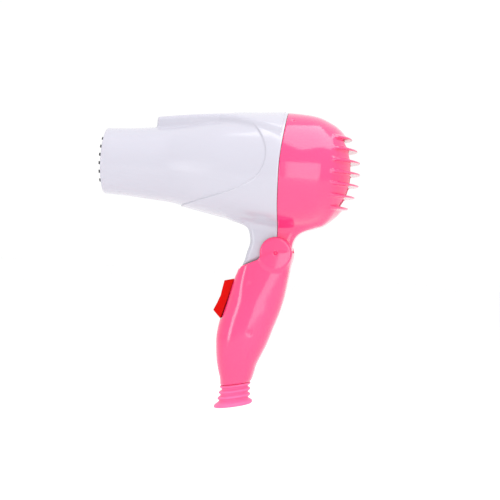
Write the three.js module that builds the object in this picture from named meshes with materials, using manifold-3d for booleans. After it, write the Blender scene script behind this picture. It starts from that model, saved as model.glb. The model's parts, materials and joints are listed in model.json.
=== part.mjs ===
// A foldable travel hair dryer, in millimetres, +Z up, nozzle towards -X.
// The origin is inside the handle, where a hand closes round it.
import * as THREE from "three";
import { mergeVertices } from "three/addons/utils/BufferGeometryUtils.js";
import Module from "manifold-3d";

const wasm = await Module();
wasm.setup();

// ---- driving dimensions -------------------------------------------------
const GAP = 0.3; // between neighbouring pieces
const FAR = 200; // larger than the whole object, for half-space cuts
const HINGE = { x: 16, z: 45 }; // the folding pin, which runs along Y
const AXIS_ABOVE_HINGE = 51.3; // the barrel's centre line
const AXIS_Z = HINGE.z + AXIS_ABOVE_HINGE;
const SEAM_X = HINGE.x - 0.5; // where the front and rear shells meet
const BARREL_WALL = 1.8;
const AROUND = 36; // facets round the barrel

const EAR = { radius: 10, inner: 9.8, outer: 13.3 };
const KNUCKLE = { radius: 7.5, halfWidth: 9.5 };
const PIN = { radius: 2.4, halfLength: 11.6 };
const SHOULDER_DEGREES = 24; // slope of the handle's top edge
const FOLD_CLEARANCE_RADIUS = 22.3; // room for the neck to swing inside the handle
const NOTCH_DEPTH = 13; // how far below the pin the front wall starts between the ears
const HANDLE_WALL = 2;
const FIN = { count: 7, pitch: 7.2, thickness: 1.8, proud: 3.3 };
const SLOT_HALF_WIDTH = 15; // the intake slots between the fins
const ROCKER = { x: HINGE.x - 29, z: HINGE.z - 30, tilt: 16.5, halfLength: 13, halfWidth: 6 };
const MOTOR = { radius: 12, front: -32, rear: 0 };
const SLEEVE = { outer: 17.6, inner: 17, front: -106, rear: -50 };
const GRILLE = { bars: 6, pitch: 5.2, barHeight: 1.8, front: -112.5, rear: -107, reach: 18.3 };
const BOARD_SIZE = { half: 14, halfThickness: 0.4, slot: 27 }; // the crossed heater boards
const COIL = { radius: 15.3, wireRadius: 0.7, pitch: 3.4 };
const MOUNT = { vanes: 6, front: -22, hubRear: -8, rimRear: -14, rimRadius: 31 };
const IMPELLER = { blades: 7, front: 7, rear: 21, hubRadius: 7.5, boreDepth: 19 };
const SHAFT_RADIUS = 1;
const SCREW = { shank: 1.3, head: 2.5 };
const BOSS_RADIUS = 3;
const UPPER_BOSS = { x: HINGE.x - 15.2, z: HINGE.z - 20.4 };
const LOWER_BOSS = { x: HINGE.x - 12.5, z: HINGE.z - 50.3 };
const BOOT = { x: HINGE.x - 20.85, z: HINGE.z - 82.75, tilt: -11.2, lean: -0.2555, length: 13.6 };
const CORD_HOLE_RADIUS = 3.6;
const LEAD_RADIUS = 1.2;
const CLAMP = { cordX: 3.07, height: 12, screwSpread: 5.2 }; // above the boot, in its tilted frame

// Barrel radius along its axis: [x from the hinge, radius].
const FRONT_PROFILE = [
  [-111.3, 20.8], [-96.5, 21.4], [-82.8, 22.9], [-71.3, 23.8], [-63.6, 25.6],
  [-49.7, 28.5], [-37, 31.1], [-25, 33], [-12, 34.8], [-0.5, 36],
];
const REAR_PROFILE = [
  [-0.5, 36], [12, 35.6], [21.5, 34.3], [30, 30.6], [36, 26.7],
  [40.3, 19], [42.6, 12.8], [45, 3.6], [45.3, 0],
];
// The raised top strip: [x from the hinge, lowest z, highest z, half width], z from the barrel axis.
const VISOR = [
  [-80, 20, 26.5, 8], [-78.4, 17, 29.5, 10.5], [-66, 14, 31.2, 14],
  [-53.6, 11, 32.3, 18.5], [-28.7, 5, 34.9, 27], [-0.5, 0, 36, 33],
];
// The neck's side outline, from the hinge, from its front top round to its rear top.
const NECK_OUTLINE = [
  [-27, 24], [-25, 18.4], [-20.4, 16.2], [-18.4, 13.9], [-17.2, 10.2], [-16.7, 6.5],
  [-17.1, 3.3], [-18.4, -0.6], [-19.2, -5], [-19.5, -9.1], [-5, -3], [5, 1.2], [9.3, 1.2],
  [9.4, 5], [10.7, 9.4], [13.6, 12.8], [16.6, 14.8], [22.6, 18], [26, 24],
];
// The handle's front and rear lines, from the hinge: [x, z], top to bottom.
const HANDLE_FRONT = [
  [-20.4, -3], [-23.6, -12.2], [-25.4, -17.5], [-29.4, -30], [-33.2, -44],
  [-34.5, -55], [-33.9, -67.3], [-31.2, -79.7], [-29.9, -86],
];
const HANDLE_REAR = [
  [10, 3], [9.2, -6.9], [8, -17], [6.4, -27], [3.9, -37.3],
  [0.5, -47.6], [-4.4, -62.9], [-7.6, -68.1], [-9.6, -75.8], [-12, -86],
];
const HANDLE_HALF_WIDTH = [[13.3, 3], [13.4, -20], [14, -42], [13.6, -62], [10.6, -80], [10, -86]];
const HANDLE_LEVELS = [3, -4, -12, -20, -30, -40, -50, -60, -68, -76, -86];

// ---- materials ------------------------------------------------------------
function material(color, roughness, metalness) {
  return new THREE.MeshStandardMaterial({ color, roughness, metalness });
}
const WHITE_GLOSS = material(0xe6e5ee, 0.22, 0);
const PINK_GLOSS = material(0xff6ba4, 0.22, 0);
const RED_GLOSS = material(0xd81808, 0.3, 0);
const PINK_SOFT = material(0xf86a98, 0.5, 0);
const BLACK_PLASTIC = material(0x1d1d20, 0.5, 0);
const MICA = material(0xb9a98a, 0.6, 0);
const HEATER_ALLOY = material(0x8d8a86, 0.4, 0.9);
const STEEL = material(0xb9bcc0, 0.3, 1);
const BRASS = material(0xc8a24a, 0.35, 1);
const WIRE_COVER = material(0x202024, 0.6, 0);
const BOARD = material(0x2e6b3c, 0.5, 0);

// ---- solids ---------------------------------------------------------------
function solid(geometry) {
  const bare = geometry.clone();
  bare.deleteAttribute("normal");
  bare.deleteAttribute("uv");
  const merged = mergeVertices(bare, 1e-4);
  const vertProperties = new Float32Array(merged.attributes.position.array);
  const triVerts = new Uint32Array(merged.index.array);
  return new wasm.Manifold(new wasm.Mesh({ numProp: 3, vertProperties, triVerts }));
}

function join(...solids) {
  return solids.reduce((whole, next) => whole.add(next));
}

function cut(whole, ...tools) {
  return tools.reduce((left, tool) => left.subtract(tool), whole);
}

function meshOf(name, shape, look) {
  const { numProp, vertProperties, triVerts } = shape.getMesh();
  const flat = new Float32Array((vertProperties.length / numProp) * 3);
  for (let i = 0; i < flat.length / 3; i++) {
    flat.set(vertProperties.subarray(i * numProp, i * numProp + 3), i * 3);
  }
  const geometry = new THREE.BufferGeometry();
  geometry.setAttribute("position", new THREE.BufferAttribute(flat, 3));
  geometry.setIndex(new THREE.BufferAttribute(new Uint32Array(triVerts), 1));
  geometry.computeVertexNormals();
  const mesh = new THREE.Mesh(geometry, look);
  mesh.name = name;
  return mesh;
}

// A box from its lowest to its highest corner.
function block(low, high) {
  const size = high.map((value, i) => value - low[i]);
  const geometry = new THREE.BoxGeometry(...size);
  geometry.translate(...low.map((value, i) => value + size[i] / 2));
  return solid(geometry);
}

// A box that turns with the rocker: x outwards is negative, z is along the handle's front.
function tiltedBlock(low, high) {
  const size = high.map((value, i) => value - low[i]);
  const geometry = new THREE.BoxGeometry(...size);
  geometry.translate(...low.map((value, i) => value + size[i] / 2));
  geometry.rotateY(THREE.MathUtils.degToRad(ROCKER.tilt));
  geometry.translate(ROCKER.x, 0, ROCKER.z);
  return solid(geometry);
}

// A closed or hollow turning about the barrel axis: profile of [x from the hinge, radius].
function revolve(profile, facets = AROUND) {
  const points = profile.map(([x, radius]) => new THREE.Vector2(radius, x));
  const geometry = new THREE.LatheGeometry(points, facets);
  geometry.rotateZ(-Math.PI / 2);
  geometry.translate(HINGE.x, 0, AXIS_Z);
  return solid(geometry);
}

// The full body of a profile, closed by flat ends on the axis.
function barrelBody(profile, grow = 0) {
  const grown = profile.map(([x, radius]) => [x, radius + (radius > 0 ? grow : 0)]);
  return revolve([[grown[0][0], 0], ...grown, [grown.at(-1)[0], 0]]);
}

function tube(fromX, toX, inner, outer, facets = AROUND) {
  return revolve([[fromX, inner], [fromX, outer], [toX, outer], [toX, inner], [fromX, inner]], facets);
}

function rodAlongX(fromX, toX, radius, facets = 16) {
  return revolve([[fromX, 0], [fromX, radius], [toX, radius], [toX, 0]], facets);
}

// A round pin along Y at a place in the side view.
function rodAlongY(x, z, fromY, toY, radius, facets = 20) {
  const geometry = new THREE.CylinderGeometry(radius, radius, toY - fromY, facets);
  geometry.translate(x, (fromY + toY) / 2, z);
  return solid(geometry);
}

// A side-view outline, given from the hinge, thickened along Y.
function plate(outline, fromY, toY) {
  const points = outline.map(([x, z]) => new THREE.Vector2(HINGE.x + x, HINGE.z + z));
  const geometry = new THREE.ExtrudeGeometry(new THREE.Shape(points), {
    depth: toY - fromY,
    bevelEnabled: false,
  });
  geometry.rotateX(Math.PI / 2);
  geometry.translate(0, toY, 0);
  return solid(geometry);
}

// A skin over a row of rings with the same number of points, closed by a fan at each end.
function loft(rings) {
  const count = rings[0].length;
  const positions = rings.flat().flatMap((point) => [point.x, point.y, point.z]);
  const index = [];
  for (let level = 0; level < rings.length - 1; level++) {
    for (let i = 0; i < count; i++) {
      const a = level * count + i;
      const b = level * count + ((i + 1) % count);
      index.push(a, b, b + count, a, b + count, a + count);
    }
  }
  const last = (rings.length - 1) * count;
  for (let i = 1; i < count - 1; i++) {
    index.push(0, i + 1, i);
    index.push(last, last + i, last + i + 1);
  }
  const geometry = new THREE.BufferGeometry();
  geometry.setAttribute("position", new THREE.Float32BufferAttribute(positions, 3));
  geometry.setIndex(index);
  return solid(geometry);
}

// A rounded rectangle-like ring; squareness 2 is an ellipse. place turns (u, v) into a point.
function ring(halfU, halfV, squareness, count, place) {
  return Array.from({ length: count }, (_, i) => {
    const angle = (i / count) * 2 * Math.PI;
    const power = 2 / squareness;
    const u = halfU * Math.sign(Math.cos(angle)) * Math.abs(Math.cos(angle)) ** power;
    const v = halfV * Math.sign(Math.sin(angle)) * Math.abs(Math.sin(angle)) ** power;
    return place(u, v);
  });
}

// The x of a side line at a height, with straight runs between its points.
function lineAt(line, z) {
  const next = Math.max(1, line.findIndex(([, lineZ]) => lineZ <= z));
  const [x1, z1] = line[next - 1];
  const [x2, z2] = line[next];
  return x1 + ((x2 - x1) * (z - z1)) / (z2 - z1);
}

// A round wire along points given from the hinge's x and the barrel axis.
function wire(points, radius, steps, sides = 6) {
  const section = new THREE.Shape();
  section.absarc(0, 0, radius, 0, 2 * Math.PI);
  const geometry = new THREE.ExtrudeGeometry(section, {
    steps,
    curveSegments: sides,
    extrudePath: new THREE.CatmullRomCurve3(points),
  });
  return solid(geometry);
}

// ---- barrel shells ----------------------------------------------------------
function barrelBore() {
  const inner = [...FRONT_PROFILE, ...REAR_PROFILE.slice(1, -2)].map(([x, radius]) => [
    x,
    radius - BARREL_WALL,
  ]);
  inner[0][0] -= 1;
  return barrelBody([...inner, [REAR_PROFILE.at(-2)[0] - 2.6, 1.5]]);
}

function visor() {
  const middle = (low, high) => AXIS_Z + (low + high) / 2;
  return loft(
    VISOR.map(([x, low, high, halfY]) =>
      ring(halfY, (high - low) / 2, 2.3, 28, (u, v) =>
        new THREE.Vector3(HINGE.x + x, u, middle(low, high) + v))),
  );
}

function neckFlare() {
  const levels = [[14.5, 9.5, -19, 16], [18, 12, -25, 22], [24, 17, -30, 28]];
  return loft(
    levels.map(([z, halfY, front, rear]) =>
      ring((rear - front) / 2, halfY, 3, 28, (u, v) =>
        new THREE.Vector3(HINGE.x + (front + rear) / 2 + u, v, HINGE.z + z))),
  );
}

function neckCavity() {
  const outline = [[-14, 8.5], [8, 8.5], [8, 14], [15, 24], [15, 36], [-18, 36], [-18, 24], [-14, 14]];
  return plate(outline, -7.6, 7.6);
}

function knuckle(radius, halfWidth) {
  return rodAlongY(HINGE.x, HINGE.z, -halfWidth, halfWidth, radius, 32);
}

function barrelShell() {
  const neck = plate(NECK_OUTLINE, -KNUCKLE.halfWidth, KNUCKLE.halfWidth);
  const outside = join(barrelBody(FRONT_PROFILE), barrelBody(REAR_PROFILE), visor(), neck, neckFlare());
  return cut(outside, barrelBore(), neckCavity());
}

function frontShell(shell) {
  const front = shell.intersect(block([-FAR, -FAR, -FAR], [SEAM_X - GAP / 2, FAR, FAR]));
  const pinHole = rodAlongY(HINGE.x, HINGE.z, -FAR, FAR, PIN.radius + GAP, 20);
  const washerSeats = [-1, 1].map((side) => {
    const ends = [side * (KNUCKLE.halfWidth - 1), side * FAR].sort((a, b) => a - b);
    return rodAlongY(HINGE.x, HINGE.z, ...ends, 6, 24);
  });
  return cut(join(front, knuckle(KNUCKLE.radius, KNUCKLE.halfWidth)), pinHole, ...washerSeats);
}

function finHeights() {
  const middle = (FIN.count - 1) / 2;
  return Array.from({ length: FIN.count }, (_, i) => AXIS_Z + (i - middle) * FIN.pitch);
}

function fins() {
  const dome = cut(barrelBody(REAR_PROFILE, FIN.proud), barrelBody(REAR_PROFILE, -BARREL_WALL));
  const nose = rodAlongX(44, REAR_PROFILE.at(-1)[0] + FIN.proud - 0.5, 8);
  const behind = join(dome, nose).intersect(block([HINGE.x + 31, -FAR, 0], [FAR, FAR, FAR]));
  const slices = finHeights().map((z) =>
    block([0, -FAR, z - FIN.thickness / 2], [FAR, FAR, z + FIN.thickness / 2]));
  return behind.intersect(join(...slices));
}

function intakeSlots() {
  const heights = finHeights();
  return heights.slice(1).map((z, i) =>
    block(
      [HINGE.x + 34.5, -SLOT_HALF_WIDTH, heights[i] + FIN.thickness / 2],
      [FAR, SLOT_HALF_WIDTH, z - FIN.thickness / 2],
    ));
}

function rearShell(shell) {
  const rear = shell.intersect(block([SEAM_X + GAP / 2, -FAR, -FAR], [FAR, FAR, FAR]));
  const open = cut(rear, ...intakeSlots(), knuckle(KNUCKLE.radius + GAP, FAR));
  const upright = block([HINGE.x + 38.5, -1.2, AXIS_Z - 21], [HINGE.x + 41.5, 1.2, AXIS_Z + 21]);
  return join(open, fins(), upright);
}

// ---- inside the barrel ------------------------------------------------------
function outletGrille() {
  const { bars, pitch, barHeight, front, rear, reach } = GRILLE;
  const rim = tube(front + 2.5, rear, reach - 0.5, FRONT_PROFILE[0][1] - BARREL_WALL - GAP);
  const rows = Array.from({ length: bars }, (_, i) => {
    const z = AXIS_Z + (i - (bars - 1) / 2) * pitch;
    return block([HINGE.x + front, -FAR, z - barHeight / 2], [HINGE.x + rear, FAR, z + barHeight / 2]);
  });
  const upright = block([HINGE.x + front + 0.5, -1, 0], [HINGE.x + rear, 1, FAR]);
  const bounds = rodAlongX(front - 0.5, rear + 1, reach, AROUND);
  return join(rim, join(...rows, upright).intersect(bounds));
}

function elementBoard(upright) {
  const [front, rear] = [SLEEVE.front + 4, SLEEVE.rear - 3];
  const { half, halfThickness, slot } = BOARD_SIZE;
  const [fromX, toX] = upright ? [rear - slot, FAR] : [-FAR, rear - slot + GAP];
  const boxAlongX = (x1, x2, halfY, halfZ) =>
    block([HINGE.x + x1, -halfY, AXIS_Z - halfZ], [HINGE.x + x2, halfY, AXIS_Z + halfZ]);
  const sheet = upright
    ? boxAlongX(front, rear, halfThickness, half)
    : boxAlongX(front, rear, half, halfThickness);
  return cut(sheet, boxAlongX(fromX, toX, halfThickness + GAP, halfThickness + GAP));
}

function heaterCoil(firstX, turns) {
  const stepsPerTurn = 8;
  const points = Array.from({ length: turns * stepsPerTurn + 1 }, (_, i) => {
    const angle = (i / stepsPerTurn) * 2 * Math.PI;
    const x = HINGE.x + firstX + (i / stepsPerTurn) * COIL.pitch;
    return new THREE.Vector3(x, COIL.radius * Math.cos(angle), AXIS_Z + COIL.radius * Math.sin(angle));
  });
  return wire(points, COIL.wireRadius, turns * stepsPerTurn, 3);
}

function motorMount() {
  const { front, hubRear, rimRear, rimRadius } = MOUNT;
  const hub = tube(front, hubRear, MOTOR.radius + GAP, MOTOR.radius + 2);
  const rim = tube(front, rimRear, rimRadius - 1, rimRadius);
  const vane = (angle) => {
    const geometry = new THREE.BoxGeometry(7, 1.4, 17.5);
    geometry.translate(HINGE.x + front + 3.8, 0, 22);
    geometry.rotateX(angle);
    geometry.translate(0, 0, AXIS_Z);
    return solid(geometry);
  };
  const vanes = Array.from({ length: MOUNT.vanes }, (_, i) => vane((i / MOUNT.vanes) * 2 * Math.PI));
  return join(hub, rim, ...vanes);
}

function impeller() {
  const { front, rear, hubRadius, boreDepth } = IMPELLER;
  const hub = rodAlongX(front, rear, hubRadius, 24);
  const blade = (angle) => {
    const geometry = new THREE.BoxGeometry(12, 1.3, 21);
    geometry.rotateZ(THREE.MathUtils.degToRad(32));
    geometry.translate(HINGE.x + (front + rear) / 2, 0, 16.5);
    geometry.rotateX(angle);
    geometry.translate(0, 0, AXIS_Z);
    return solid(geometry);
  };
  const count = IMPELLER.blades;
  const blades = Array.from({ length: count }, (_, i) => blade((i / count) * 2 * Math.PI));
  return cut(join(hub, ...blades), rodAlongX(front - 1, boreDepth, SHAFT_RADIUS + 0.05));
}

function rectifierBoard() {
  const disc = cut(rodAlongX(-37.2, -36, 10.5, 24), rodAlongX(-38, -35, 2.5));
  const diode = (y, z) =>
    block([HINGE.x - 40, y - 1.4, AXIS_Z + z - 2.6], [HINGE.x - 37, y + 1.4, AXIS_Z + z + 2.6]);
  return join(disc, diode(-5.5, -3.4), diode(-5.5, 3.4), diode(5.5, -3.4), diode(5.5, 3.4));
}

// ---- handle -----------------------------------------------------------------
function handleLoft(inset, levels) {
  return loft(
    levels.map((z) => {
      const front = lineAt(HANDLE_FRONT, z) + inset;
      const rear = lineAt(HANDLE_REAR, z) - inset;
      const halfY = lineAt(HANDLE_HALF_WIDTH, z) - inset;
      return ring((rear - front) / 2, halfY, 2.5, 28, (u, v) =>
        new THREE.Vector3(HINGE.x + (front + rear) / 2 + u, v, HINGE.z + z));
    }).reverse(),
  );
}

// Everything above the handle's sloping top edge, which points at the hinge.
function aboveShoulder() {
  const slope = Math.tan(THREE.MathUtils.degToRad(SHOULDER_DEGREES));
  return plate([[-FAR, -FAR * slope], [FAR, FAR * slope], [-FAR, FAR]], -FAR, FAR);
}

function belowBoot() {
  const slope = Math.tan(THREE.MathUtils.degToRad(-BOOT.tilt));
  const middleX = BOOT.x - HINGE.x;
  const middleZ = BOOT.z - HINGE.z + 0.1;
  const left = [middleX - FAR, middleZ - FAR * slope];
  const right = [middleX + FAR, middleZ + FAR * slope];
  return plate([left, [middleX, -3 * FAR], right], -FAR, FAR);
}

// The room between the ears that the neck swings through.
function swingRoom() {
  const turned = rodAlongY(HINGE.x, HINGE.z, -EAR.inner, EAR.inner, FOLD_CLEARANCE_RADIUS, 48);
  const low = -NOTCH_DEPTH;
  const notch = plate([[-40, low], [-15, low], [-15, 5], [-40, 5]], -EAR.inner, EAR.inner);
  const rearWall = plate([[8.1, 0.6], [30, 0.6], [30, -30], [3.9, -30], [6, -17], [7.2, -7]], -FAR, FAR);
  return cut(join(turned, notch), rearWall);
}

function boss({ x, z }) {
  return rodAlongY(x, z, -FAR, FAR, BOSS_RADIUS, 20);
}

function handleBody() {
  const outside = cut(handleLoft(0, HANDLE_LEVELS), aboveShoulder(), belowBoot());
  const rightEar = rodAlongY(HINGE.x, HINGE.z, EAR.inner, EAR.outer, EAR.radius, 40);
  const leftEar = rodAlongY(HINGE.x, HINGE.z, -EAR.outer, -EAR.inner, EAR.radius, 40);
  const whole = join(outside, rightEar, leftEar);
  const levels = HANDLE_LEVELS.filter((z) => z <= -12 && z > -80);
  const cavity = handleLoft(HANDLE_WALL, [-9, ...levels, -79]);
  const clampBosses = [-1, 1].map((side) => clampRod(side, -14, -GAP, 2.6));
  const bosses = join(boss(UPPER_BOSS), boss(LOWER_BOSS), ...clampBosses).intersect(whole);
  const hollow = join(cut(whole, cavity), bosses);
  const knuckleRoom = rodAlongY(HINGE.x, HINGE.z, -EAR.inner, EAR.inner, KNUCKLE.radius + GAP, 36);
  const topRoom = block([-FAR, -EAR.inner, HINGE.z + 0.6], [FAR, EAR.inner, FAR]);
  const cordExit = rodAlongBoot(-10, 14, 5.2);
  const opening = tiltedBlock([-9, -ROCKER.halfWidth - 0.5, -13.8], [4, ROCKER.halfWidth + 0.5, 13.8]);
  return cut(hollow, swingRoom(), knuckleRoom, topRoom, cordExit, opening);
}

function handleShell(body, side) {
  const half = side < 0
    ? block([-FAR, -FAR, -FAR], [FAR, -GAP / 2, FAR])
    : block([-FAR, GAP / 2, -FAR], [FAR, FAR, FAR]);
  const ends = side < 0 ? [-12, 0] : [0, 12];
  const pinHole = rodAlongY(HINGE.x, HINGE.z, ...ends, PIN.radius + GAP, 20);
  const screwHoles = [UPPER_BOSS, LOWER_BOSS].map(({ x, z }) => (side < 0
    ? rodAlongY(x, z, -8, 1, SCREW.shank + GAP, 12)
    : join(
      rodAlongY(x, z, -1, 20, SCREW.shank + GAP, 12),
      rodAlongY(x, z, 9.5, 20, SCREW.head + GAP, 16),
    )));
  const clampHoles = [-1, 1].map((end) => clampRod(end, -7, 1, SCREW.shank + GAP));
  return cut(body.intersect(half), pinHole, ...screwHoles, ...clampHoles);
}

function handleScrew({ x, z }) {
  return join(
    rodAlongY(x, z, -7, 10, SCREW.shank, 10),
    rodAlongY(x, z, 9.8, 11.6, SCREW.head, 14),
  );
}

function hingeWasher(side) {
  const near = side * (KNUCKLE.halfWidth - 0.8);
  const ends = [near, near + side * 0.7].sort((a, b) => a - b);
  const disc = rodAlongY(HINGE.x, HINGE.z, ...ends, 5.6, 24);
  return cut(disc, rodAlongY(HINGE.x, HINGE.z, -FAR, FAR, PIN.radius + GAP, 20));
}

// ---- switch -----------------------------------------------------------------
function rockerKey() {
  const { halfLength, halfWidth } = ROCKER;
  const outline = [
    [0.8, -halfLength], [0.8, -2], [3, -1.2], [3, 1.2], [0.8, 2], [0.8, halfLength],
    [0, halfLength], [-5.2, halfLength - 3.1], [-4.5, 0.4], [-5.5, 3.2 - halfLength], [0, -halfLength],
  ];
  const shape = new THREE.Shape(outline.map(([x, z]) => new THREE.Vector2(x, z)));
  const geometry = new THREE.ExtrudeGeometry(shape, { depth: 2 * halfWidth, bevelEnabled: false });
  geometry.rotateX(Math.PI / 2);
  geometry.translate(0, halfWidth, 0);
  geometry.rotateY(THREE.MathUtils.degToRad(ROCKER.tilt));
  geometry.translate(ROCKER.x, 0, ROCKER.z);
  return solid(geometry);
}

function switchBody() {
  return tiltedBlock([4.5, -5.5, -10.5], [15, 5.5, 4.5]);
}

function switchTerminal(z) {
  return tiltedBlock([15 + GAP, -2.2, z - 0.4], [20, 2.2, z + 0.4]);
}

// ---- cord entry -------------------------------------------------------------
function placeOnBoot(geometry) {
  geometry.rotateY(THREE.MathUtils.degToRad(BOOT.tilt));
  geometry.translate(BOOT.x, 0, BOOT.z);
  return geometry;
}

// A skin along the boot's leaning centre line through pairs of [depth below the handle, radius].
function alongBoot(levels, roundness = 1) {
  const tilt = THREE.MathUtils.degToRad(BOOT.tilt);
  const rings = levels.map(([depth, radius]) =>
    ring(radius, radius * roundness, 2, 20, (u, v) =>
      new THREE.Vector3(u + BOOT.lean * depth, v, -depth)
        .applyAxisAngle(new THREE.Vector3(0, 1, 0), tilt)
        .add(new THREE.Vector3(BOOT.x, 0, BOOT.z))));
  return loft(rings.reverse());
}

function rodAlongBoot(fromDepth, toDepth, radius) {
  return alongBoot([[fromDepth, radius], [toDepth, radius]]);
}

function cordBoot() {
  const ridges = [
    [GAP, 9.4], [1.4, 9.7], [2.6, 8.4], [4.4, 9.9], [6.2, 8.8], [8, 10.3], [9.7, 9.3],
    [11.4, 11.6], [12.6, 12.1], [BOOT.length, 11.4],
  ];
  const stem = rodAlongBoot(-8, 1, 4.8);
  const collar = rodAlongBoot(-8, -6, 6.4);
  return cut(join(alongBoot(ridges, 0.97), stem, collar), rodAlongBoot(-20, 30, CORD_HOLE_RADIUS));
}

// A rod across the handle beside the cord, at the clamp; side is -1 in front of the cord, 1 behind.
function clampRod(side, fromY, toY, radius) {
  const geometry = new THREE.CylinderGeometry(radius, radius, toY - fromY, 12);
  geometry.translate(CLAMP.cordX + side * CLAMP.screwSpread, (fromY + toY) / 2, CLAMP.height);
  return solid(placeOnBoot(geometry));
}

function cordClamp() {
  const bar = new THREE.BoxGeometry(14, 2, 4.6);
  bar.translate(CLAMP.cordX, CORD_HOLE_RADIUS + 1.3, CLAMP.height);
  const holes = [-1, 1].map((side) => clampRod(side, 0, 10, SCREW.shank + GAP));
  return cut(solid(placeOnBoot(bar)), ...holes);
}

function clampScrew(side) {
  const top = CORD_HOLE_RADIUS + 2.3 + GAP;
  return join(clampRod(side, -5, top + 0.5, SCREW.shank), clampRod(side, top, top + 1.2, 2.1));
}

function lead(side) {
  const points = [[-20.5, -65.5], [-20.2, -60], [-19.6, -52], [-16.4, -46.2]].map(([x, z]) =>
    new THREE.Vector3(HINGE.x + x, side * 1.7, HINGE.z + z));
  return wire(points, LEAD_RADIUS, 8, 4);
}

// ---- assembly ---------------------------------------------------------------
const hairDryer = new THREE.Group();

function place(name, shape, look) {
  hairDryer.add(meshOf(name, shape, look));
}

function addBarrel() {
  const shell = barrelShell();
  place("front_shell", frontShell(shell), WHITE_GLOSS);
  place("rear_shell", rearShell(shell), PINK_GLOSS);
  place("outlet_grille", outletGrille(), BLACK_PLASTIC);
  place("mica_sleeve", tube(SLEEVE.front, SLEEVE.rear, SLEEVE.inner, SLEEVE.outer), MICA);
  place("element_board_upright", elementBoard(true), MICA);
  place("element_board_flat", elementBoard(false), MICA);
  place("heater_coil_front", heaterCoil(-99, 4), HEATER_ALLOY);
  place("heater_coil_rear", heaterCoil(-79, 6), HEATER_ALLOY);
  place("thermostat", block([HINGE.x - 62, 2, AXIS_Z + 0.8], [HINGE.x - 54, 8, AXIS_Z + 3.4]), BRASS);
  const fuse = new THREE.CylinderGeometry(1.5, 1.5, 9, 12);
  fuse.translate(HINGE.x - 58, -7, AXIS_Z + 2.3);
  place("thermal_fuse", solid(fuse), STEEL);
  place("motor_can", rodAlongX(MOTOR.front, MOTOR.rear, MOTOR.radius, 32), STEEL);
  place("motor_end_cap", rodAlongX(MOTOR.front - 3, MOTOR.front - GAP, MOTOR.radius - 0.5, 24), BLACK_PLASTIC);
  place("rectifier_board", rectifierBoard(), BOARD);
  place("motor_mount", motorMount(), BLACK_PLASTIC);
}

function addFan() {
  place("motor_shaft", rodAlongX(MOTOR.rear + GAP, IMPELLER.boreDepth - 0.5, SHAFT_RADIUS), STEEL);
  place("impeller", impeller(), BLACK_PLASTIC);
}

function addHandle() {
  const body = handleBody();
  place("handle_left_shell", handleShell(body, -1), PINK_GLOSS);
  place("handle_right_shell", handleShell(body, 1), PINK_GLOSS);
  place("handle_screw_upper", handleScrew(UPPER_BOSS), STEEL);
  place("handle_screw_lower", handleScrew(LOWER_BOSS), STEEL);
  const { radius, halfLength } = PIN;
  place("hinge_pin", rodAlongY(HINGE.x, HINGE.z, -halfLength, halfLength, radius), STEEL);
  place("hinge_washer_left", hingeWasher(-1), STEEL);
  place("hinge_washer_right", hingeWasher(1), STEEL);
}

function addSwitch() {
  place("rocker", rockerKey(), RED_GLOSS);
  place("switch_body", switchBody(), BLACK_PLASTIC);
  [-8, -3, 2].forEach((z, i) => place(`switch_terminal_${i + 1}`, switchTerminal(z), BRASS));
}

function addCordEntry() {
  place("cord_boot", cordBoot(), PINK_SOFT);
  place("cord_clamp", cordClamp(), BLACK_PLASTIC);
  place("clamp_screw_front", clampScrew(-1), STEEL);
  place("clamp_screw_rear", clampScrew(1), STEEL);
  place("lead_live", lead(-1), WIRE_COVER);
  place("lead_neutral", lead(1), WIRE_COVER);
}

addBarrel();
addFan();
addHandle();
addSwitch();
addCordEntry();

export default hairDryer;
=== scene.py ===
import json
import math

import bpy
import numpy as np
from mathutils import Matrix, Vector


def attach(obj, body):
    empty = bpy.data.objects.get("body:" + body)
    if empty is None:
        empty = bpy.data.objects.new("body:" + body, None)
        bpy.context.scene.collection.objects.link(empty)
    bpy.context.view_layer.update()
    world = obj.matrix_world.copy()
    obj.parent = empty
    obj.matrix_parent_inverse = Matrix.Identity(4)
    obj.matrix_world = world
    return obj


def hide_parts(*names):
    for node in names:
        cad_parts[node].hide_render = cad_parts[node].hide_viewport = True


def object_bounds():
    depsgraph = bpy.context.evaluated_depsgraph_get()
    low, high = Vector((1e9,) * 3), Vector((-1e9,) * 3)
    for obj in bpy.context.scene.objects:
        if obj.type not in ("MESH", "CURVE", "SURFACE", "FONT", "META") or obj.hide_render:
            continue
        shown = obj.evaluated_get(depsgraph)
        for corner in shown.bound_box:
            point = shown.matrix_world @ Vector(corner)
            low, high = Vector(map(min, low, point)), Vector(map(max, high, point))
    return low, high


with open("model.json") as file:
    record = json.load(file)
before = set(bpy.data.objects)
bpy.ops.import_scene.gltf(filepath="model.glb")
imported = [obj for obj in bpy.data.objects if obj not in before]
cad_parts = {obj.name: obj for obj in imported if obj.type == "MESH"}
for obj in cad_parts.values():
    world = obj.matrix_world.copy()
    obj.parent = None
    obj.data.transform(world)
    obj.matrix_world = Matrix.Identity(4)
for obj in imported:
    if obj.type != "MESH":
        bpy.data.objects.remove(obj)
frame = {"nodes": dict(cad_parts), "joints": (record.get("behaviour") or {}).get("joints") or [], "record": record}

CAD_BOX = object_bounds()

# ---- dimensions in millimetres, from the hinge pin ---------------------------
JOINTS = {joint["name"]: joint for joint in frame["joints"]}
HINGE = np.array(JOINTS["fold"]["pos_m"]) * 1000
AXIS = JOINTS["fan_spin"]["pos_m"][2] * 1000 - HINGE[2]  # barrel axis above the pin
GROOVE = 0.1  # half width of a parting line
WALL = 1.9
STEP = 0.5  # grid spacing of the moulded shells

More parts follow.
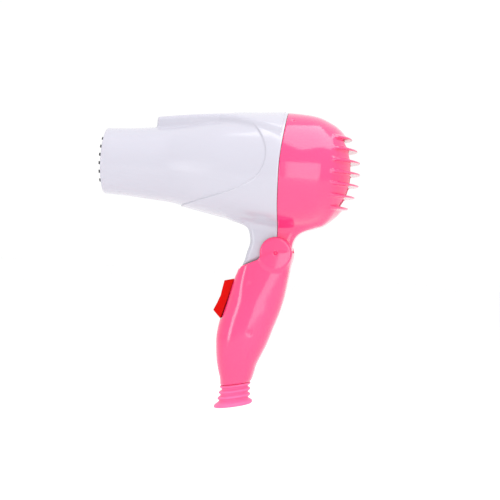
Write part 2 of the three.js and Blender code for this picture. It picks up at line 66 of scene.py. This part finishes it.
FRONT = [(-111.3, 20.7), (-96.5, 21.4), (-82.8, 22.6), (-71.3, 23.6), (-63.6, 24.9), (-49.7, 27.8),
         (-37, 30.4), (-25, 32.3), (-12, 34.1), (-0.5, 35.3), (12, 34.9), (21.5, 33.4)]
DOME = [(30, 29.6), (33.5, 27.2), (36, 24.9), (39, 20.9), (41.4, 16), (43.1, 10.6), (44.2, 5.2),
        (44.6, 0)]
FIN_EDGE = [(30, 29.2), (32.5, 29.9), (35, 28.9), (38.4, 26.2), (42.2, 21.6), (46, 14.4),
            (48.1, 7.3), (48.6, 0)]
FIN_PITCH = 7.2
FINS_EACH_SIDE = 3  # above and below the middle fin
SLOT = {"front": 34.3, "half_width": 15, "half_height": 20.7}  # the intake openings behind the fins
LATCH = {"x": 5.9, "y": 20.4, "up": 30.2, "radius": 1.3}  # the dimple beside the seam
HOOD = 0.7  # how far the hood stands above the nozzle panel
PANEL = [(-76, 24.3), (-60, 27.8), (-44, 30.2), (-31.5, 31), (-23, 29.2), (-15.2, 23.4), (-9.8, 14.4),
         (-8.4, 6.2), (-10.6, -2.2), (-16.2, -8.6), (-25.6, -14), (-40, -19), (-52.5, -22.8), (-62, -25.6)]
VISOR_TOP = [(-81, 29.2), (-66, 31.1), (-53.6, 32.5), (-28.7, 34.9), (-10, 35.7), (0, 36)]
VISOR_HALF = [(-81, 6), (-60, 8.5), (-40, 13), (-20, 22), (0, 30)]
VISOR_FRONT = -79.6
NECK = [(-34, 30), (-30, 21), (-25, 18.2), (-20.8, 16.2), (-18.4, 13.7), (-17.2, 10.2), (-16.7, 6.5),
        (-17.1, 3.3), (-18.3, -0.6), (-19.2, -5), (-19.6, -9.2), (-5, -3), (5, 0.9), (9.2, 1.1), (9.4, 5),
        (10.7, 9.2), (13.4, 12.6), (17, 15.2), (22.6, 17.8), (28, 20), (34, 30)]
NECK_HALF = 9.5
KNUCKLE_RADIUS = 7.5
KNUCKLE_ROOM = 7.8
PIN_HOLE = 2.75
HANDLE_FRONT = [(-20.2, 12), (-20.4, -2), (-23.4, -12), (-25.4, -17.5), (-29.6, -31), (-33.1, -44),
                (-34.4, -52), (-34.5, -58), (-33.7, -67.5), (-32.2, -75), (-30.6, -81), (-29.9, -90)]
HANDLE_REAR = [(9.9, 12), (9.8, 2), (9.2, -7), (8, -17), (6.4, -27), (3.9, -37.3), (0.4, -47.6),
               (-2.9, -57.6), (-6.2, -65.2), (-8.4, -70.6), (-10, -77), (-11.3, -82), (-12.2, -90)]
HANDLE_HALF = [(13.4, 12), (13.4, 0), (13.5, -20), (14, -40), (13.8, -55), (12.6, -68), (10.8, -79),
               (10.2, -90)]
HANDLE_WALL = 2
SWING_RADIUS = 22.3  # room for the neck to fold between the ears
NOTCH_DEPTH = 11  # how far below the pin the front wall starts between the ears
EAR_RADIUS = 10
EAR_INNER = 9.8
EAR_OUTER = 13.4
SHOULDER = math.tan(math.radians(24))
BOOT = {"x": -20.85, "z": -82.75, "tilt": math.radians(11.2), "lean": -0.2555}
ROCKER = {"x": -29, "z": -30, "tilt": math.radians(16.5), "half_length": 13, "half_width": 6}
SCREWS = [(-15.2, -20.4), (-12.5, -50.3)]
CAMERA = {"azimuth": 5, "roll": 3.65, "distance": 0.75, "lens": 86.4, "aside": -17, "above": 0.8}


# ---- fields: negative inside, about one unit per millimetre ------------------
def smooth_min(a, b, k):
    blend = np.maximum(k - np.abs(a - b), 0) / k
    return np.minimum(a, b) - blend * blend * k / 4


def smooth_max(a, b, k):
    return -smooth_min(-a, -b, k)


def smooth_step(value):
    t = np.clip(value, 0, 1)
    return t * t * (3 - 2 * t)


def curve(points, per_span=8):
    """The points of a smooth line through the given ones (Catmull-Rom)."""
    p = np.array(points, float)
    p = np.vstack([2 * p[0] - p[1], p, 2 * p[-1] - p[-2]])
    t = np.linspace(0, 1, per_span, endpoint=False)[:, None]
    spans = [0.5 * (2 * b + (c - a) * t + (2 * a - 5 * b + 4 * c - d) * t**2 + (3 * b - a - 3 * c + d) * t**3)
             for a, b, c, d in zip(p, p[1:], p[2:], p[3:])]
    return np.vstack(spans + [p[-2][None]])


def along(points, height):
    """x of a smooth line at a height; the line runs from top to bottom."""
    line = curve(points)
    return np.interp(height, line[::-1, 1], line[::-1, 0])


class Outline:
    """Signed distance to a closed outline, kept on a fine 2D grid."""

    def __init__(self, points, margin=12, pitch=0.25):
        p = np.array(points, float)
        self.low = p.min(0) - margin
        self.pitch = pitch
        size = np.ceil((p.max(0) + margin - self.low) / pitch).astype(int) + 1
        u = self.low[0] + pitch * np.arange(size[0])[:, None]
        v = self.low[1] + pitch * np.arange(size[1])[None, :]
        nearest = np.full((size[0], size[1]), 1e9)
        inside = np.zeros((size[0], size[1]), bool)
        for (ax, ay), (bx, by) in zip(p, np.roll(p, -1, 0)):
            dx, dy = bx - ax, by - ay
            share = np.clip(((u - ax) * dx + (v - ay) * dy) / max(dx * dx + dy * dy, 1e-12), 0, 1)
            nearest = np.minimum(nearest, (u - ax - share * dx) ** 2 + (v - ay - share * dy) ** 2)
            if ay != by:
                crosses = (ay > v) != (by > v)
                inside ^= crosses & (u < ax + (v - ay) * dx / dy)
        self.grid = (np.sqrt(nearest) * np.where(inside, -1, 1)).astype(np.float32)

    def __call__(self, u, v):
        a = np.clip((u - self.low[0]) / self.pitch, 0, self.grid.shape[0] - 1.001)
        b = np.clip((v - self.low[1]) / self.pitch, 0, self.grid.shape[1] - 1.001)
        i, j = a.astype(int), b.astype(int)
        a, b = a - i, b - j
        g = self.grid
        return (g[i, j] * (1 - a) * (1 - b) + g[i + 1, j] * a * (1 - b)
                + g[i, j + 1] * (1 - a) * b + g[i + 1, j + 1] * a * b)


def turned_outline(profile, grow, front=None):
    """Outline in (x, radius) of a body turned about the barrel axis."""
    line = curve(profile, 6)
    line[:, 1] = np.maximum(line[:, 1], 0)
    start = line[0, 0] if front is None else front
    below = -6
    closed = [(start, below), (start, line[0, 1])] + [tuple(p) for p in line] + [(line[-1, 0], below)]
    shape = Outline(closed)
    return lambda x, r: shape(x, r) - grow


base = turned_outline(FRONT + DOME, 0)
tunnel = turned_outline(FRONT + DOME, -WALL, front=-130)
fin_body = turned_outline([(20, 25), (28, 28)] + FIN_EDGE, 0)
panel = Outline([(-125, 50), (VISOR_FRONT, 50), (-79, 24)] + [tuple(p) for p in curve(PANEL, 6)]
                + [(-68.5, -27), (-69, -50), (-125, -50)])
neck_side = Outline(curve(NECK, 4))


def seam(z):
    """x of the joint between white and pink, which leans back towards the top."""
    return 2.2 * smooth_step((z - 50) / 38)


def visor(x, y, up):
    top = np.interp(x, *np.array(VISOR_TOP).T)
    half = np.interp(x, *np.array(VISOR_HALF).T)
    crown = np.hypot(y, up + 6) - (top + 6)
    strip = smooth_max(smooth_max(crown, np.abs(y) - half, 2.4), VISOR_FRONT - x, 1.2)
    strip = smooth_max(strip, 14 - up, 1)
    return np.where(x < 0, strip, 5)


def neck(x, y, z):
    half = NECK_HALF + 7 * smooth_step((z - 13.5) / 16) ** 2
    body = smooth_max(neck_side(x, z), np.abs(y) - half, 4)
    return smooth_max(body, z - AXIS, 2)


def barrel_outside(x, y, z):
    up = z - AXIS
    raised = smooth_step(panel(x, up) / 0.7 + 0.5) * HOOD
    body = base(x, np.hypot(y, up)) - np.where(x < seam(z), raised, HOOD)
    body = smooth_max(body, FRONT[0][0] - x, 0.8)
    body = smooth_min(body, visor(x, y, up), 1.6)
    return smooth_min(body, neck(x, y, z), 5)


def barrel_hollow(x, y, z):
    bore = tunnel(x, np.hypot(y, z - AXIS))
    room = smooth_max(neck_side(x, z) + 2, np.abs(y) - 7.6, 1)
    return smooth_min(bore, smooth_max(room, 8.5 - z, 1), 1)


def barrel_wall(x, y, z):
    return smooth_max(barrel_outside(x, y, z), -barrel_hollow(x, y, z), 0.5)


def front_shell(x, y, z):
    shell = smooth_max(barrel_wall(x, y, z), x - seam(z) + GROOVE, 0.5)
    from_pin = np.hypot(x, z)
    knuckle = smooth_max(from_pin - KNUCKLE_RADIUS, np.abs(y) - NECK_HALF, 0.6)
    shell = smooth_min(shell, knuckle, 0.6)
    shell = smooth_max(shell, PIN_HOLE - from_pin, 0.3)
    washer_seat = smooth_max(from_pin - 6, NECK_HALF - 1 - np.abs(y), 0.3)
    return smooth_max(shell, -washer_seat, 0.3)


def fins(x, radius, up):
    nearest = np.clip(np.round(up / FIN_PITCH), -FINS_EACH_SIDE, FINS_EACH_SIDE) * FIN_PITCH
    half = 0.92 - 0.03 * np.clip(x - 34, 0, 14)
    blade = smooth_max(fin_body(x, radius), -(base(x, radius) + 3.4), 0.4)
    blade = smooth_max(blade, np.abs(up - nearest) - half, 0.7)
    return smooth_max(blade, 30.5 - x, 1)


def rear_shell(x, y, z):
    up = z - AXIS
    window = np.maximum(SLOT["front"] - x, np.abs(y) - SLOT["half_width"])
    window = smooth_max(window, np.abs(up) - SLOT["half_height"], 0.8)
    shell = smooth_max(barrel_wall(x, y, z), -window, 0.6)
    shell = smooth_min(shell, fins(x, np.hypot(y, up), up), 1.1)
    from_latch = np.sqrt((x - LATCH["x"]) ** 2 + (np.abs(y) - LATCH["y"]) ** 2 + (up - LATCH["up"]) ** 2)
    shell = smooth_max(shell, LATCH["radius"] - from_latch, 0.6)
    shell = smooth_max(shell, seam(z) + GROOVE - x, 0.5)
    return smooth_max(shell, KNUCKLE_ROOM - np.hypot(x, z), 0.4)


def handle_grip(x, y, z, inset):
    front = along(HANDLE_FRONT, z) + inset
    rear = along(HANDLE_REAR, z) - inset
    half = along(HANDLE_HALF, z) - inset
    middle, depth = (front + rear) / 2, (rear - front) / 2
    n = 2.35 + 2.4 * smooth_step((z + 34) / 34)
    u, v = np.abs(x - middle) / depth + 1e-6, np.abs(y) / half + 1e-6
    g = (u**n + v**n) ** (1 / n)
    slope = np.hypot((u / g) ** (n - 1) / depth, (v / g) ** (n - 1) / half)
    return (g - 1) / np.maximum(slope, 0.02)


def rocker_frame(x, z):
    c, s = math.cos(ROCKER["tilt"]), math.sin(ROCKER["tilt"])
    dx, dz = x - ROCKER["x"], z - ROCKER["z"]
    return dx * c - dz * s, dx * s + dz * c


def boot_frame(x, z):
    c, s = math.cos(BOOT["tilt"]), math.sin(BOOT["tilt"])
    dx, dz = x - BOOT["x"], z - BOOT["z"]
    return dx * c + dz * s, -dx * s + dz * c


def between_ears(x, y, z, from_pin):
    """The room that the neck folds through and the room round its knuckle."""
    apart = np.abs(y) - EAR_INNER
    notch = np.maximum(-NOTCH_DEPTH - z, x + 15)
    swing = smooth_max(np.minimum(from_pin - SWING_RADIUS, notch), apart, 0.5)
    swing = smooth_max(swing, x + 0.22 * z + 1.5, 1)
    knuckle_room = smooth_max(smooth_min(from_pin - KNUCKLE_ROOM, 0.6 - z, 0.4), apart, 0.5)
    return np.minimum(swing, knuckle_room)


def handle(x, y, z):
    from_pin = np.hypot(x, z)
    shoulder = (z - SHOULDER * x) / math.hypot(1, SHOULDER)
    _, above_boot = boot_frame(x, z)
    grip = smooth_max(handle_grip(x, y, z, 0), np.maximum(shoulder, z + 0.5), 0.9)
    grip = smooth_max(grip, -above_boot, 1.2)
    ear = smooth_max(from_pin - EAR_RADIUS, np.abs(y) - EAR_OUTER, 1.8)
    body = smooth_min(grip, ear, 3)
    hollow = smooth_max(handle_grip(x, y, z, HANDLE_WALL), 3 - above_boot, 1)
    hollow = smooth_max(hollow, shoulder + 1, 1)
    body = smooth_max(body, -np.minimum(hollow, between_ears(x, y, z, from_pin)), 0.5)
    out, along_front = rocker_frame(x, z)
    opening = smooth_max(np.abs(along_front) - ROCKER["half_length"] - 0.5,
                         np.abs(y) - ROCKER["half_width"] - 0.35, 1)
    body = smooth_max(body, -smooth_max(opening, out - 4, 0.5), 0.5)
    pin_mark = np.sqrt(from_pin**2 + (np.abs(y) - EAR_OUTER - 0.5) ** 2) - 1.2
    return smooth_max(body, -pin_mark, 0.3)


def handle_left(x, y, z):
    body = smooth_max(handle(x, y, z), y + GROOVE, 0.4)
    for sx, sz in SCREWS:
        sink = np.sqrt((x - sx) ** 2 + (y + 15.8) ** 2 + (z - sz) ** 2) - 2.5
        body = smooth_max(body, -sink, 1)
    return body


def handle_right(x, y, z):
    body = smooth_max(handle(x, y, z), GROOVE - y, 0.4)
    for sx, sz in SCREWS:
        away = np.hypot(x - sx, z - sz)
        post = smooth_max(away - 3.6, 6 - y, 0.4)
        body = smooth_min(body, smooth_max(post, y - 11.6, 0.3), 0.4)
        body = smooth_max(body, -smooth_max(away - 2.8, 9.6 - y, 0.3), 0.4)
    return body


rocker_side = Outline([(0.8, -13), (0.8, 13), (0, 13), (-5.3, 9.9), (-4.9, 5), (-4.4, 0.3), (-4.9, -5),
                       (-5.6, -9.8), (0, -13)], margin=6, pitch=0.1)


def rocker(x, y, z):
    out, up = rocker_frame(x, z)
    return smooth_max(rocker_side(out, up), np.abs(y) - ROCKER["half_width"], 1.1)


# ---- a mesh from a field -------------------------------------------------------
CORNERS = [(i, j, k) for i in (0, 1) for j in (0, 1) for k in (0, 1)]
EDGES = [(a, b) for a in range(8) for b in range(a + 1, 8)
         if sum(abs(p - q) for p, q in zip(CORNERS[a], CORNERS[b])) == 1]


def sampled(field, low, size, step):
    """The field on a grid, worked out finely only in blocks near the surface."""
    block = 6
    blocks = [int(math.ceil(n / block)) for n in size]
    centres = [low[a] + step * block * (np.arange(blocks[a]) + 0.5) for a in range(3)]
    cx, cy, cz = np.meshgrid(*centres, indexing="ij")
    rough = field(cx, cy, cz)
    near = np.argwhere(np.abs(rough) < step * block * 1.5 + 1)
    grid = np.repeat(np.repeat(np.repeat(rough, block, 0), block, 1), block, 2).astype(np.float32)
    offset = np.arange(block)
    for part in np.array_split(near, max(1, len(near) // 3000)):
        i = (part[:, 0, None] * block + offset)[:, :, None, None]
        j = (part[:, 1, None] * block + offset)[:, None, :, None]
        k = (part[:, 2, None] * block + offset)[:, None, None, :]
        shape = (len(part), block, block, block)
        i, j, k = (np.broadcast_to(v, shape).ravel() for v in (i, j, k))
        grid[i, j, k] = field(low[0] + step * i, low[1] + step * j, low[2] + step * k)
    return grid


def cell_points(grid, inside, low, step):
    """One vertex in each cell that the surface crosses, and each cell's number in the list."""
    shape = [n - 1 for n in grid.shape]
    corner = [inside[i:i + shape[0], j:j + shape[1], k:k + shape[2]] for i, j, k in CORNERS]
    count = sum(c.astype(np.int8) for c in corner)
    cells = np.argwhere((count > 0) & (count < 8))
    ids = np.full(shape, -1, np.int64)
    ids[tuple(cells.T)] = np.arange(len(cells))
    values = np.stack([grid[tuple((cells + c).T)] for c in CORNERS], 1)
    total = np.zeros((len(cells), 3))
    hits = np.zeros(len(cells))
    for a, b in EDGES:
        crossed = (values[:, a] < 0) != (values[:, b] < 0)
        share = np.where(crossed, values[:, a] / np.where(crossed, values[:, a] - values[:, b], 1), 0)
        place = np.array(CORNERS[a]) + share[:, None] * (np.array(CORNERS[b]) - np.array(CORNERS[a]))
        total += place * crossed[:, None]
        hits += crossed
    return low + step * (cells + total / hits[:, None]), ids


def quads_across(inside, ids, axis):
    """A quad of four cells' vertices round each grid edge along the axis that the surface crosses."""
    u, v = [a for a in range(3) if a != axis]
    first = [slice(1, None)] * 3
    second = [slice(1, None)] * 3
    first[axis] = slice(0, -1)
    where = np.argwhere(inside[tuple(first)] != inside[tuple(second)])
    where[:, u] += 1
    where[:, v] += 1
    where = where[(where[:, u] < ids.shape[u]) & (where[:, v] < ids.shape[v])]
    flip = inside[tuple(where.T)] if axis == 1 else ~inside[tuple(where.T)]
    around = []
    for du, dv in ((-1, -1), (0, -1), (0, 0), (-1, 0)):
        cell = where.copy()
        cell[:, u] += du
        cell[:, v] += dv
        around.append(ids[tuple(cell.T)])
    quads = np.stack(around, 1)
    quads[flip] = quads[flip][:, ::-1]
    return quads


def surface(field, low, high, step):
    """Vertices on the field's surface and the quads between them (surface nets)."""
    off_planes = np.array([0.27, 0.31, 0.23])  # keeps flat faces off the grid's own planes
    low = np.array(low, float) + step * off_planes
    size = [int(math.ceil((h - l) / step)) + 1 for l, h in zip(low, high)]
    grid = sampled(field, low, size, step)
    inside = grid < 0
    points, ids = cell_points(grid, inside, low, step)
    quads = np.vstack([quads_across(inside, ids, axis) for axis in range(3)])
    return settle(field, points, step), quads


def settle(field, points, step):
    """Moves each vertex along the gradient onto the exact surface."""
    start = points.copy()
    small = 0.05
    for _ in range(3):
        x, y, z = points.T
        value = field(x, y, z)
        gradient = np.stack([field(x + small, y, z) - value, field(x, y + small, z) - value,
                             field(x, y, z + small) - value], 1) / small
        length = np.maximum((gradient**2).sum(1), 0.05)
        points = points - gradient * (value / length)[:, None]
    move = points - start
    far = np.linalg.norm(move, axis=1)
    return start + move * np.minimum(1, 0.7 * step / np.maximum(far, 1e-9))[:, None]


def mesh_object(name, points, faces):
    """A mesh object from points in millimetres from the hinge."""
    mesh = bpy.data.meshes.new(name)
    placed = (np.asarray(points) + HINGE) / 1000
    mesh.from_pydata(placed.tolist(), [], [list(map(int, f)) for f in faces])
    mesh.validate()
    mesh.polygons.foreach_set("use_smooth", [True] * len(mesh.polygons))
    mesh.update()
    piece = bpy.data.objects.new(name, mesh)
    bpy.context.scene.collection.objects.link(piece)
    return piece


def moulded(name, field, low, high, body, nodes, look, step=None):
    points, quads = surface(field, low, high, step or STEP)
    return settle_in(mesh_object(name, points, quads), body, nodes, look)


def settle_in(piece, body, nodes, look):
    piece.data.materials.append(look)
    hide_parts(*nodes)
    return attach(piece, body)


# ---- materials -----------------------------------------------------------------
def new_material(name, **sockets):
    look = bpy.data.materials.new(name)
    look.use_nodes = True
    shader = look.node_tree.nodes["Principled BSDF"]
    for key, value in sockets.items():
        shader.inputs[key.replace("_", " ")].default_value = value
    return look, look.node_tree, shader


def noise(tree, scale, detail, rough, vector):
    node = tree.nodes.new("ShaderNodeTexNoise")
    node.inputs["Scale"].default_value = scale
    node.inputs["Detail"].default_value = detail
    node.inputs["Roughness"].default_value = rough
    tree.links.new(vector, node.inputs["Vector"])
    return node.outputs["Fac"]


def spread(tree, value, low, high):
    node = tree.nodes.new("ShaderNodeMapRange")
    tree.links.new(value, node.inputs["Value"])
    for key, number in (("From Min", 0.3), ("From Max", 0.7), ("To Min", low), ("To Max", high)):
        node.inputs[key].default_value = number
    return node.outputs["Result"]


def ramp(tree, value, stops):
    node = tree.nodes.new("ShaderNodeValToRGB")
    while len(node.color_ramp.elements) < len(stops):
        node.color_ramp.elements.new(0.5)
    for element, (place, colour) in zip(node.color_ramp.elements, stops):
        element.position = place
        element.color = (*colour, 1)
    tree.links.new(value, node.inputs["Fac"])
    return node.outputs["Color"]


def bump(tree, height, strength, distance, shader, before=None):
    node = tree.nodes.new("ShaderNodeBump")
    node.inputs["Strength"].default_value = strength
    node.inputs["Distance"].default_value = distance
    tree.links.new(height, node.inputs["Height"])
    if before is not None:
        tree.links.new(before, node.inputs["Normal"])
    tree.links.new(node.outputs["Normal"], shader.inputs["Normal"])
    return node.outputs["Normal"]


def object_position(tree):
    return tree.nodes.new("ShaderNodeTexCoord").outputs["Object"]


def gloss_plastic(name, dark, light, roughness, glow=0.0, coat=0.5, shine=0.5):
    """Moulded gloss plastic: slow colour drift, orange-peel ripple, fine scuffs in the gloss."""
    look, tree, shader = new_material(name, IOR=1.5, Coat_Weight=coat, Coat_Roughness=0.08,
                                      Specular_IOR_Level=shine)
    shader.inputs["Subsurface Weight"].default_value = glow
    shader.inputs["Subsurface Radius"].default_value = (0.6, 0.3, 0.3)
    shader.inputs["Subsurface Scale"].default_value = 0.0015
    place = object_position(tree)
    drift = noise(tree, 22, 2, 0.5, place)
    tree.links.new(ramp(tree, drift, [(0.3, dark), (0.7, light)]), shader.inputs["Base Color"])
    scuffs = noise(tree, 900, 4, 0.65, place)
    tree.links.new(spread(tree, scuffs, roughness * 0.85, roughness * 1.25), shader.inputs["Roughness"])
    ripple = bump(tree, noise(tree, 70, 2, 0.5, place), 0.05, 0.0006, shader)
    bump(tree, noise(tree, 2600, 2, 0.5, place), 0.03, 0.00005, shader, ripple)
    return look


def soft_vinyl(name, dark, light):
    look, tree, shader = new_material(name, IOR=1.48)
    place = object_position(tree)
    drift = noise(tree, 60, 3, 0.5, place)
    tree.links.new(ramp(tree, drift, [(0.3, dark), (0.7, light)]), shader.inputs["Base Color"])
    tree.links.new(spread(tree, noise(tree, 500, 4, 0.6, place), 0.38, 0.52), shader.inputs["Roughness"])
    bump(tree, noise(tree, 1500, 3, 0.6, place), 0.12, 0.0001, shader)
    return look


def brushed_metal(name, dark, light, roughness):
    look, tree, shader = new_material(name, Metallic=1.0)
    place = object_position(tree)
    stretch = tree.nodes.new("ShaderNodeMapping")
    stretch.inputs["Scale"].default_value = (0.15, 1, 1)
    tree.links.new(place, stretch.inputs["Vector"])
    grain = noise(tree, 1200, 4, 0.6, stretch.outputs["Vector"])
    tree.links.new(ramp(tree, grain, [(0.3, dark), (0.7, light)]), shader.inputs["Base Color"])
    tree.links.new(spread(tree, grain, roughness * 0.8, roughness * 1.3), shader.inputs["Roughness"])
    bump(tree, grain, 0.08, 0.00005, shader)
    return look


def layered_sheet(name, dark, light, scale):
    look, tree, shader = new_material(name)
    place = object_position(tree)
    cells = tree.nodes.new("ShaderNodeTexVoronoi")
    cells.inputs["Scale"].default_value = scale
    tree.links.new(place, cells.inputs["Vector"])
    flake = cells.outputs["Distance"]
    tree.links.new(ramp(tree, flake, [(0.1, dark), (0.7, light)]), shader.inputs["Base Color"])
    tree.links.new(spread(tree, noise(tree, 400, 3, 0.5, place), 0.45, 0.7), shader.inputs["Roughness"])
    bump(tree, flake, 0.15, 0.0002, shader)
    return look


WHITE = gloss_plastic("white_moulding", (0.455, 0.445, 0.51), (0.47, 0.46, 0.525), 0.2, 0.03)
PINK = gloss_plastic("pink_moulding", (0.80, 0.036, 0.165), (0.83, 0.043, 0.18), 0.14, 0.04)
RED = gloss_plastic("red_moulding", (0.50, 0.001, 0.0), (0.57, 0.002, 0.001), 0.34, coat=0.0, shine=0.06)
BLACK = gloss_plastic("black_moulding", (0.012, 0.012, 0.014), (0.022, 0.022, 0.025), 0.45)
BOOT_PINK = soft_vinyl("pink_vinyl", (0.88, 0.11, 0.29), (0.92, 0.135, 0.33))
WIRE = soft_vinyl("wire_cover_vinyl", (0.01, 0.01, 0.012), (0.025, 0.025, 0.028))
STEEL = brushed_metal("plated_steel", (0.42, 0.43, 0.45), (0.6, 0.61, 0.63), 0.3)
ALLOY = brushed_metal("resistance_wire", (0.2, 0.18, 0.17), (0.36, 0.33, 0.3), 0.4)
BRASS = brushed_metal("stamped_brass", (0.55, 0.36, 0.12), (0.72, 0.5, 0.2), 0.32)
MICA = layered_sheet("mica_sheet", (0.3, 0.24, 0.16), (0.5, 0.43, 0.32), 350)
BOARD = layered_sheet("circuit_board", (0.02, 0.12, 0.04), (0.05, 0.2, 0.07), 500)
LOOKS = {"white_gloss": WHITE, "pink_gloss": PINK, "red_gloss": RED, "pink_soft": BOOT_PINK,
         "black_plastic": BLACK, "mica": MICA, "heater_alloy": ALLOY, "steel": STEEL, "brass": BRASS,
         "wire_cover": WIRE, "board": BOARD}


def dress_cad_nodes():
    slots = {part["node"]: part["material_slot"] for part in frame["record"]["subparts"]}
    for node, cad in frame["nodes"].items():
        for i in range(len(cad.data.materials)):
            cad.data.materials[i] = LOOKS[slots[node]]


# ---- pieces --------------------------------------------------------------------
def add_shells():
    moulded("front_moulding", front_shell, (-116, -40, -13), (11, 40, 92), "barrel", ["front_shell"],
            WHITE)
    moulded("rear_moulding", rear_shell, (-4, -40, -4), (53, 40, 92), "barrel", ["rear_shell"],
            PINK)
    moulded("handle_left_moulding", handle_left, (-39, -17, -90), (14, 2, 13), "handle",
            ["handle_left_shell"], PINK)
    moulded("handle_right_moulding", handle_right, (-39, -2, -90), (14, 17, 13), "handle",
            ["handle_right_shell"], PINK)
    moulded("rocker_key", rocker, (-42, -8, -46), (-20, 8, -14), "rocker", ["rocker"],
            RED, min(STEP, 0.4))


def add_boot():
    """The cord boot: a leaning stack of rings round an open bore."""
    outline = curve([(0.3, 9.2), (0.7, 9.6), (1.5, 9.5), (2.2, 8.5), (2.9, 8.3), (3.6, 9.3), (4.2, 9.9),
                     (4.9, 9.8), (5.6, 8.9), (6.3, 8.7), (7, 9.7), (7.6, 10.3), (8.4, 10.2), (9.1, 9.3),
                     (9.8, 9.3), (10.7, 10.6), (11.6, 11.8), (12.5, 12.1), (13.2, 11.9), (13.6, 11.2)], 3)
    inside = [(13.7, 9), (13.7, 4.4), (13.3, 3.7), (6, 3.6), (-7, 3.6), (-7.5, 4.6), (0.2, 4.9)]
    profile = np.vstack([outline, inside])
    around = 96
    angles = np.arange(around) / around * 2 * math.pi
    c, s = math.cos(BOOT["tilt"]), math.sin(BOOT["tilt"])
    points = []
    for depth, radius in profile:
        u = radius * np.cos(angles) + BOOT["lean"] * depth
        v = 0.97 * radius * np.sin(angles)
        points.append(np.stack([BOOT["x"] + u * c + depth * s, v, BOOT["z"] + u * s - depth * c], 1))
    rows = len(profile)
    faces = [(r * around + i, r * around + (i + 1) % around,
              (r + 1) % rows * around + (i + 1) % around, (r + 1) % rows * around + i)
             for r in range(rows) for i in range(around)]
    piece = mesh_object("cord_boot_moulding", np.vstack(points), [f[::-1] for f in faces])
    settle_in(piece, "handle", ["cord_boot"], BOOT_PINK)


# ---- camera and studio -----------------------------------------------------------
def aim(piece, target, roll=0.0):
    direction = (Vector(target) - piece.location).normalized()
    turn = direction.to_track_quat("-Z", "Y").to_matrix().to_4x4()
    piece.matrix_world = Matrix.Translation(piece.location) @ turn @ Matrix.Rotation(roll, 4, "Z")


def add_camera():
    target = Vector((HINGE[0] + CAMERA["aside"], 0, HINGE[2] + CAMERA["above"])) / 1000
    azimuth = math.radians(CAMERA["azimuth"])
    back = Vector((math.sin(azimuth), -math.cos(azimuth), 0))
    data = bpy.data.cameras.new("camera")
    data.sensor_width = 36
    data.lens = CAMERA["lens"]
    camera = bpy.data.objects.new("camera", data)
    bpy.context.scene.collection.objects.link(camera)
    camera.location = target + back * CAMERA["distance"]
    aim(camera, target, math.radians(CAMERA["roll"]))
    bpy.context.scene.camera = camera


def add_light(name, place, target, size, power):
    data = bpy.data.lights.new(name, "AREA")
    data.shape = "RECTANGLE"
    data.size, data.size_y = size
    data.energy = power
    lamp = bpy.data.objects.new(name, data)
    bpy.context.scene.collection.objects.link(lamp)
    lamp.location = place
    bpy.context.view_layer.update()
    aim(lamp, target)


def add_floor():
    look, tree, shader = new_material("pale_floor", Roughness=0.9)
    dapple = noise(tree, 3, 2, 0.5, object_position(tree))
    shade = ramp(tree, dapple, [(0.3, (0.97, 0.97, 0.97)), (0.7, (0.985, 0.985, 0.985))])
    tree.links.new(shade, shader.inputs["Base Color"])
    low = CAD_BOX[0][2] - 0.03
    far = 6
    corners = [(-far, -far, low), (far, -far, low), (far, far, low), (-far, far, low)]
    floor = bpy.data.meshes.new("floor")
    floor.from_pydata(corners, [], [(0, 1, 2, 3)])
    floor.materials.append(look)
    stage = bpy.data.objects.new("floor", floor)
    bpy.context.scene.collection.objects.link(stage)


def add_studio():
    world = bpy.data.worlds.new("studio")
    world.use_nodes = True
    background = world.node_tree.nodes["Background"]
    background.inputs["Color"].default_value = (1, 1, 1, 1)
    background.inputs["Strength"].default_value = 1.03
    bpy.context.scene.world = world
    bpy.context.scene.view_settings.view_transform = "Standard"
    add_light("key_above", (0.16, -0.13, 0.6), (0.05, 0, 0.1), (0.6, 0.52), 2.5)
    add_light("strip_front", (-0.46, -0.54, -0.02), (0, 0, 0), (0.14, 0.4), 0.7)
    add_light("side_panel", (0.24, -0.58, 0.06), (0, 0, 0.06), (0.5, 0.4), 1.3)


dress_cad_nodes()
add_camera()
add_floor()
add_studio()
add_shells()
add_boot()
